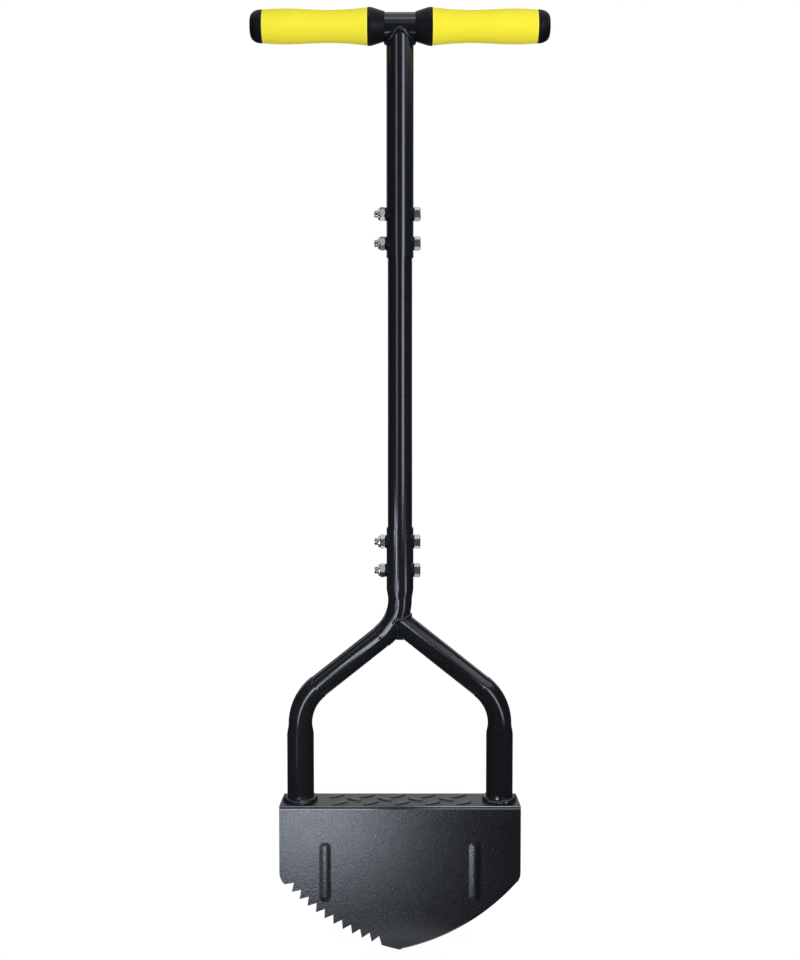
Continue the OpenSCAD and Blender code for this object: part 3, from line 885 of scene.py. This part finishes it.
# Black moulded plastic: collars, caps and saddle washers, with the dull grain of a spark-eroded mould
grit_cell = 1.2 * mm
grit_depth = 0.02 * mm
moulded_black, tree, shader, place = new_finish(
    "black moulded plastic", Specular_IOR_Level=0.12, Specular_Tint=cool_shine)
grit, _ = mottle(tree, shader, place, grit_cell, 2, "#0a0b0d", "#0f1113")
matt = add_node(tree, "ShaderNodeMapRange", {"Value": grit, "To Min": 0.38, "To Max": 0.5})
relief = add_node(tree, "ShaderNodeBump", {"Height": grit, "Distance": grit_depth, "Strength": 1})
tree.links.new(matt.outputs["Result"], shader.inputs["Roughness"])
tree.links.new(relief.outputs["Normal"], shader.inputs["Normal"])

# Natural nylon: milky white, a little waxy
nylon_cloud = 3 * mm
milky_nylon, tree, shader, place = new_finish("natural nylon", Roughness=0.4)
mottle(tree, shader, place, nylon_cloud, 1, "#dcdacb", "#eceae0")

# How far, in degrees, each nut and head is turned as it was tightened, the lower bolt first
nut_turns = {"upper": (-13, -12), "lower": (-23, 0)}
head_turns = {"upper": (0, 0), "lower": (-7, 0)}
for joint in ("upper", "lower"):
    bolts_low, bolts_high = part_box(f"{joint}_bolts")
    seat_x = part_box(f"{joint}_saddle_washers")[1].x
    nut_end_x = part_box(f"{joint}_nuts")[0].x
    nut_hex_x = -seat_x - nut_hex_h
    bolts, nuts, rings, washers = [], [], [], []
    axes = (bolts_low.z + hex_r, bolts_high.z - hex_r)
    for axis_z, nut_turn, head_turn in zip(axes, nut_turns[joint], head_turns[joint]):
        shank = turn([(seat_x + mm, 0, 0), (seat_x + mm, bolt_r, 0), (nut_hex_x, bolt_r, 0),
                      (nut_hex_x, thread_root_r, 0), (bolts_low.x, thread_root_r, tip_round),
                      (bolts_low.x, 0, 0)], axis_z)
        head = hex_blank(seat_x, bolts_high.x, axis_z, head_turn, (1,))
        bolts += [head, shank, bolt_thread(bolts_low.x + thread_start, nut_hex_x + mm, axis_z)]

        nut = hex_blank(nut_hex_x, -seat_x, axis_z, nut_turn, (-1, 1))
        clear_selection()
        bpy.ops.mesh.primitive_cylinder_add(vertices=nut_bore_sides, radius=bolt_r, depth=4 * nut_hex_h,
                                            location=(nut_hex_x, 0, axis_z), rotation=(0, square_a, 0))
        carve(nut, bpy.context.object)
        inner_x = nut_hex_x + collar_bite
        ring_x = nut_end_x + nylon_depth
        recess_x = nut_end_x + nylon_recess
        collar = turn([(inner_x, bolt_r, 0), (inner_x, collar_r + collar_flare, 0),
                       (nut_hex_x - collar_flare_len, collar_r, collar_foot_round),
                       (nut_end_x, collar_r, collar_end_round), (nut_end_x, nylon_r, collar_lip_round),
                       (ring_x, nylon_r, 0), (ring_x, bolt_r, 0), (inner_x, bolt_r, 0)], axis_z)
        nuts += [nut, collar]
        rings.append(turn([(recess_x, bolt_r, 0), (recess_x, nylon_r, 0), (ring_x, nylon_r, 0),
                           (ring_x, bolt_r, 0), (recess_x, bolt_r, 0)], axis_z))
        washers += [saddle_washer(side, seat_x, axis_z) for side in (-1, 1)]
    fit(join(bolts), f"{joint}_hex_bolts", f"{joint}_bolts", zinc_plate)
    fit(join(nuts), f"{joint}_lock_nuts", f"{joint}_nuts", zinc_plate)
    fit(join(rings), f"{joint}_nylon_rings", f"{joint}_nut_inserts", milky_nylon)
    fit(join(washers), f"{joint}_saddles", f"{joint}_saddle_washers", moulded_black)

# Handle bar
# A 28.6 mm steel tube across the top of the shaft, welded to its coped end all round with a bead that
# is smoother than those of the fork.
bar_wall = 1.5 * mm
bar_bore_r = bar_r - bar_wall
cross_bar = turn([(bar_low.x, bar_bore_r, 0), (bar_low.x, bar_r, 0), (bar_high.x, bar_r, 0),
                  (bar_high.x, bar_bore_r, 0), (bar_low.x, bar_bore_r, 0)], bar_z, ring_sides)
fit(cross_bar, "cross_bar", "handle_bar", gloss_black)

bar_bead_r = 2.5 * mm
bar_bead_drop = 2.1 * mm
bar_bead_lump = 0.02
bar_bead_ripple = 0.015
saddle_path = []
for a in spread(0, 2 * math.pi, cope_steps)[:-1]:
    x, y = tube_r * math.cos(a), tube_r * math.sin(a)
    saddle_path.append(Vector((x, y, bar_z - math.sqrt(bar_r ** 2 - y ** 2) - bar_bead_drop)))
bar_bead = lay_bead(saddle_path, bar_bead_r, True, bar_bead_lump, bar_bead_ripple)
fit(bar_bead, "cross_bar_bead", "handle_weld", gloss_black)

# Grips
# On each side a moulded cone collar, a yellow foam sleeve pulled over the bar, and a moulded end cap
# with a spigot in the bar's bore. The sleeve swells to the palm and flares against the collar.
rim_r = 19.5 * mm
rim_len = 4 * mm
rim_flare = 0.3 * mm
rim_foot_round = 1.2 * mm
rim_end_round = 0.7 * mm
neck_r = 15 * mm
neck_round = 0.5 * mm
sleeve_inner_r = 18.9 * mm
waist_r = 16.3 * mm
belly_r = 17.7 * mm
sleeve_outer_r = 16.5 * mm
waist_at = 0.377
belly_at = 0.781
sleeve_end_round = 0.9 * mm
sleeve_steps = 48
cap_r = 16.8 * mm
dome_len = 11 * mm
dome_drop = 8.5 * mm
dome_steps = 12
spigot_len = 16 * mm
spigot_round = 1 * mm
spigot_play = 0.05 * mm


def sleeve_r(share):
    """The sleeve's radius at a share of its length, out from the collar."""
    if share < waist_at:
        return waist_r + (sleeve_inner_r - waist_r) * (1 - share / waist_at) ** 2
    if share < belly_at:
        swell = (1 - math.cos(math.pi * (share - waist_at) / (belly_at - waist_at))) / 2
        return waist_r + (belly_r - waist_r) * swell
    return belly_r - (belly_r - sleeve_outer_r) * ((share - belly_at) / (1 - belly_at)) ** 2


def across_bar(node):
    """Inner and outer station of a node of one grip, out from the shaft."""
    low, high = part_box(node)
    return sorted((abs(low.x), abs(high.x)))


# Closed-cell foam: bright yellow, matt, with fine pores; its pale end bands are partly cut, compressed
# foam and partly a painted highlight of the rounded rims
pore = 1.3 * mm
pore_depth = 0.05 * mm
foam_cloud = 22 * mm
cut_end_highlight_band = 0.6 * mm
cut_end_highlight_inset = 0.4 * mm
foam_yellow, tree, shader, place = new_finish(
    "yellow closed-cell foam", Specular_IOR_Level=0.25, Roughness=0.75)
pores = add_node(tree, "ShaderNodeTexNoise",
                 {"Vector": place, "Scale": 1 / pore, "Detail": 3, "Roughness": 0.65})
_, tint = mottle(tree, shader, place, foam_cloud, 2, "#e5d82e", "#ece035")
relief = add_node(tree, "ShaderNodeBump",
                  {"Height": pores.outputs["Fac"], "Distance": pore_depth, "Strength": 1})
across = add_node(tree, "ShaderNodeSeparateXYZ", {"Vector": place})
out = add_node(tree, "ShaderNodeMath", {0: across.outputs["X"]}, operation="ABSOLUTE")
cut_x, cut_end = across_bar("right_grip_sleeve")
# A pale yellow band at each end of the sleeve, mixed into the colour: partly the cut foam, partly a
# painted highlight along the rim
cut_end_highlights = [add_node(tree, "ShaderNodeMath", {0: out.outputs[0], 1: x, 2: cut_end_highlight_band},
                 operation="COMPARE").outputs[0]
        for x in (cut_x + cut_end_highlight_inset, cut_end - cut_end_highlight_inset)]
cut = add_node(tree, "ShaderNodeMath", {0: cut_end_highlights[0], 1: cut_end_highlights[1]}, operation="MAXIMUM")
tint = add_node(tree, "ShaderNodeMix",
                {"Factor": cut.outputs[0], "A": tint, "B": linear("#fffb66")},
                data_type="RGBA")
tree.links.new(tint.outputs["Result"], shader.inputs["Base Color"])
tree.links.new(relief.outputs["Normal"], shader.inputs["Normal"])

for side, hand in ((-1, "left"), (1, "right")):
    collar_x, collar_end = across_bar(f"{hand}_grip_collar")
    collar = turn([(collar_x, bar_r, 0), (collar_x, neck_r, neck_round),
                   (collar_end - rim_len, rim_r - rim_flare, rim_foot_round),
                   (collar_end, rim_r, rim_end_round), (collar_end, bar_r, 0), (collar_x, bar_r, 0)],
                  bar_z, ring_sides)
    fit(turn_round(collar, side), f"{hand}_collar", f"{hand}_grip_collar", moulded_black)

    sleeve_x, sleeve_end = across_bar(f"{hand}_grip_sleeve")
    sleeve_len = sleeve_end - sleeve_x
    stations = [(sleeve_x + sleeve_len * share, sleeve_r(share), 0)
                for share in spread(0, 1, sleeve_steps)]
    stations[0] = (*stations[0][:2], sleeve_end_round)
    stations[-1] = (*stations[-1][:2], sleeve_end_round)
    sleeve = turn([(sleeve_x, bar_r, 0)] + stations + [(sleeve_end, bar_r, 0), (sleeve_x, bar_r, 0)],
                  bar_z, ring_sides)
    fit(turn_round(sleeve, side), f"{hand}_foam_grip", f"{hand}_grip_sleeve", foam_yellow)

    cap_end = across_bar(f"{hand}_end_cap")[1]
    spigot_x = bar_high.x - spigot_len
    spigot_r = bar_bore_r - spigot_play
    dome = [(cap_end - dome_len * (1 - math.sin(a)), cap_r - dome_drop * (1 - math.cos(a)), 0)
            for a in spread(0, square_a, dome_steps)]
    cap = turn([(spigot_x, 0, 0), (spigot_x, spigot_r, spigot_round), (bar_high.x, spigot_r, 0),
                (bar_high.x, bar_r, 0), (sleeve_end, bar_r, 0), (sleeve_end, cap_r, 0)]
               + dome + [(cap_end, 0, 0)], bar_z, ring_sides)
    fit(turn_round(cap, side), f"{hand}_cap", f"{hand}_end_cap", moulded_black)

# Studio
# A small pale floor under the point and a white surround are all that is seen. Out of sight stand a
# drum of black cards with a window behind, which the gloss coat mirrors, three black flags and the
# soft boxes: strips for the tubes, near ones for the bends, and others for the blade and the rims.
floor_r = 80 * mm
floor_drop = 0.2 * mm
floor_sides = 128
white = (1, 1, 1, 1)


def seen_ray(tree):
    """A socket that is one for rays that show a thing as such, straight or mirrored, and else nought."""
    ray = add_node(tree, "ShaderNodeLightPath")
    seen = add_node(tree, "ShaderNodeMath",
                    {0: ray.outputs["Is Camera Ray"], 1: ray.outputs["Is Glossy Ray"]},
                    operation="MAXIMUM")
    seen = add_node(tree, "ShaderNodeMath",
                    {0: seen.outputs[0], 1: ray.outputs["Is Transmission Ray"]}, operation="MAXIMUM")
    return seen.outputs[0]


clear_selection()
bpy.ops.mesh.primitive_circle_add(vertices=floor_sides, radius=floor_r, fill_type="NGON",
                                  location=(0, 0, -floor_drop))
floor = bpy.context.object
floor.name = "floor"

# White paper: lit to just under white, with a faint shade below the point
paper_glow = 0.94
paper, tree, shader, _ = new_finish("white paper", Base_Color=linear("#616161"), Roughness=0.9,
                                    Specular_IOR_Level=0, Emission_Color=white)
glow = add_node(tree, "ShaderNodeMath", {0: seen_ray(tree), 1: paper_glow}, operation="MULTIPLY")
tree.links.new(glow.outputs[0], shader.inputs["Emission Strength"])
floor.data.materials.append(paper)

# The surround is white to the eye, and half as bright where it only lights the tool
fill_level = 0.5
world = bpy.data.worlds.new("white surround")
bpy.context.scene.world = world
world.use_nodes = True
tree = world.node_tree
surround = tree.nodes["Background"]
surround.inputs["Color"].default_value = white
level = add_node(tree, "ShaderNodeMapRange",
                 {"Value": seen_ray(tree), "To Min": fill_level, "To Max": 1})
tree.links.new(level.outputs["Result"], surround.inputs["Strength"])

# The drum of black cards: a floor and a wall in three rings, the middle one open behind the tool
card_r = 2200 * mm
card_low_z = -2000 * mm
card_high_z = 2600 * mm
card_sides = 72
card_rim = 1 * mm
window_half_a = math.radians(16)
window_low_z = 100 * mm
window_high_z = 1800 * mm
clear_selection()
bpy.ops.mesh.primitive_circle_add(vertices=card_sides, radius=card_r, fill_type="NGON",
                                  location=(0, 0, card_low_z))
cards = bpy.context.object
cards.name = "black_cards"
bpy.ops.object.transform_apply()
bpy.ops.object.mode_set(mode="EDIT")
bpy.ops.mesh.select_all(action="SELECT")
bpy.ops.mesh.inset(thickness=card_rim)
pick(lambda co: math.hypot(co.x, co.y) > card_r - card_rim / 2)
ring_levels = (card_low_z, window_low_z, window_high_z, card_high_z)
for low_z, high_z in zip(ring_levels, ring_levels[1:]):
    pull((0, 0, high_z - low_z))
bpy.ops.mesh.select_mode(type="FACE")
bpy.ops.mesh.select_all(action="DESELECT")
mesh = bmesh.from_edit_mesh(cards.data)
for face in mesh.faces:
    spot = face.calc_center_median()
    face.select = (abs(math.atan2(spot.x, spot.y)) < window_half_a
                   and window_low_z < spot.z < window_high_z)
bpy.ops.mesh.delete(type="FACE")
bpy.ops.mesh.select_mode(type="VERT")
bpy.ops.object.mode_set(mode="OBJECT")

# Black card: no shine, and just enough glow that mirrored card is not quite black
card_glow = 0.02
black_card = new_finish("black card", Base_Color=linear("#0a0a0a"), Specular_IOR_Level=0,
                        Emission_Color=white, Emission_Strength=card_glow)[0]
cards.data.materials.append(black_card)
cards.visible_camera = False
cards.visible_diffuse = False
cards.visible_shadow = False

# The flags, placed and sized in metres, keep lights off the blade, the socket and the right slant
for name, place, size, tilt in (
        ("plate_flag", (0.1175, -0.2175, blade_top_z), (0.565, 0.365, 1), 0),
        ("socket_flag", (0.095, -0.25, 0.3025), (0.09, 0.205, 1), square_a),
        ("slant_flag", (0.1875, -0.25, 0.32), (0.095, 0.24, 1), square_a)):
    clear_selection()
    bpy.ops.mesh.primitive_plane_add(size=1, location=place, rotation=(tilt, 0, 0))
    flag = bpy.context.object
    flag.name = name
    flag.scale = size
    bpy.ops.object.transform_apply()
    flag.data.materials.append(black_card)
    flag.visible_camera = False
    flag.visible_diffuse = False


def soft_box(name, place, aim, width, height, level):
    """A rectangular soft light that faces a point; its level is how bright its own face is."""
    light = bpy.data.lights.new(name, "AREA")
    light.shape = "RECTANGLE"
    light.size = width
    light.size_y = height
    light.energy = level * math.pi * width * height
    lamp = bpy.data.objects.new(name, light)
    bpy.context.scene.collection.objects.link(lamp)
    lamp.location = place
    lamp.rotation_euler = (Vector(place) - Vector(aim)).to_track_quat("Z", "Y").to_euler()
    lamp.visible_camera = False


def round_tool(angle, z):
    """A place on the ring of strips, at degrees to the right of the camera's side and at a height."""
    a = math.radians(angle)
    return (strip_distance * math.sin(a), -strip_distance * math.cos(a), z)


# The lights, placed and sized in metres: tall strips and side lights for the long highlights of the
# tubes, small near ones for the bends, and then those for the blade, the undersides, tops and rims
strip_distance = 1900 * mm
soft_box("right strip", round_tool(28, 0.87), (0, 0, 0.87), 0.56, 1.3, 7.7)
soft_box("left strip", round_tool(-29, 0.87), (0, 0, 0.87), 0.43, 1.3, 3)
soft_box("low right strip", round_tool(47, -0.03), (0, 0, 0.3), 0.35, 0.35, 3.5)
soft_box("low left strip", round_tool(-31, -0.4), (0, 0, 0.2), 0.25, 0.7, 1.3)
soft_box("right side", (1.5, -0.2, 1.43), (0.05, 0, 0.29), 1.9, 0.4, 1.8)
soft_box("left side", (-1.3, 0.11, 1.4), (-0.06, 0, 0.29), 0.5, 0.4, 0.6)
soft_box("near socket", (-0.113, -0.2, 0.382), (-0.03, 0, 0.382), 0.03, 0.08, 13)
soft_box("near upper bend", (-0.064, -0.2, 0.329), (-0.02, 0, 0.329), 0.03, 0.04, 16)
soft_box("near slant", (-0.198, -0.2, 0.408), (-0.07, 0, 0.29), 0.05, 0.05, 11)
soft_box("near left bend", (-0.179, -0.2, 0.2585), (-0.1, 0, 0.25), 0.032, 0.143, 11)
soft_box("near right bend", (0.24, -0.2, 0.275), (0.12, 0, 0.275), 0.04, 0.15, 7)
soft_box("blade light", (-0.135, -0.6, -0.05), (-0.06, 0, 0.12), 0.2, 0.13, 17)
soft_box("low back", (0, 1.5, -1.6), (0, 0, 0.55), 1.2, 1.2, 0.9)
soft_box("low front", (0, -1.2, -1.3), (0, 0, 0.6), 0.5, 0.6, 0.8)
soft_box("front", (0, -1.9, 1.75), (0, 0, 0.75), 0.6, 0.5, 0.8)
soft_box("top left", (-0.2, -0.84, 2.4), (0, 0, 0.15), 0.29, 0.25, 5)
soft_box("top right", (0.2, -0.84, 2.4), (0, 0, 0.15), 0.29, 0.25, 12)
soft_box("back left", round_tool(-145, 1), (0, 0, 0.55), 0.5, 1.3, 0.7)
soft_box("back right", round_tool(150, 1), (0, 0, 0.55), 0.4, 1.3, 0.8)

# The camera stands straight in front, above the middle of the tool, and looks a little down
camera_place = (0, -1410 * mm, 645.5 * mm)
camera_tilt = 3.2
camera_data = bpy.data.cameras.new("photo camera")
camera_data.lens = 51.075
camera_data.shift_y = -0.0767
camera = bpy.data.objects.new("photo camera", camera_data)
bpy.context.scene.collection.objects.link(camera)
camera.location = camera_place
camera.rotation_euler = (math.radians(90 - camera_tilt), 0, 0)
bpy.context.scene.camera = camera
bpy.context.scene.view_settings.view_transform = "Standard"
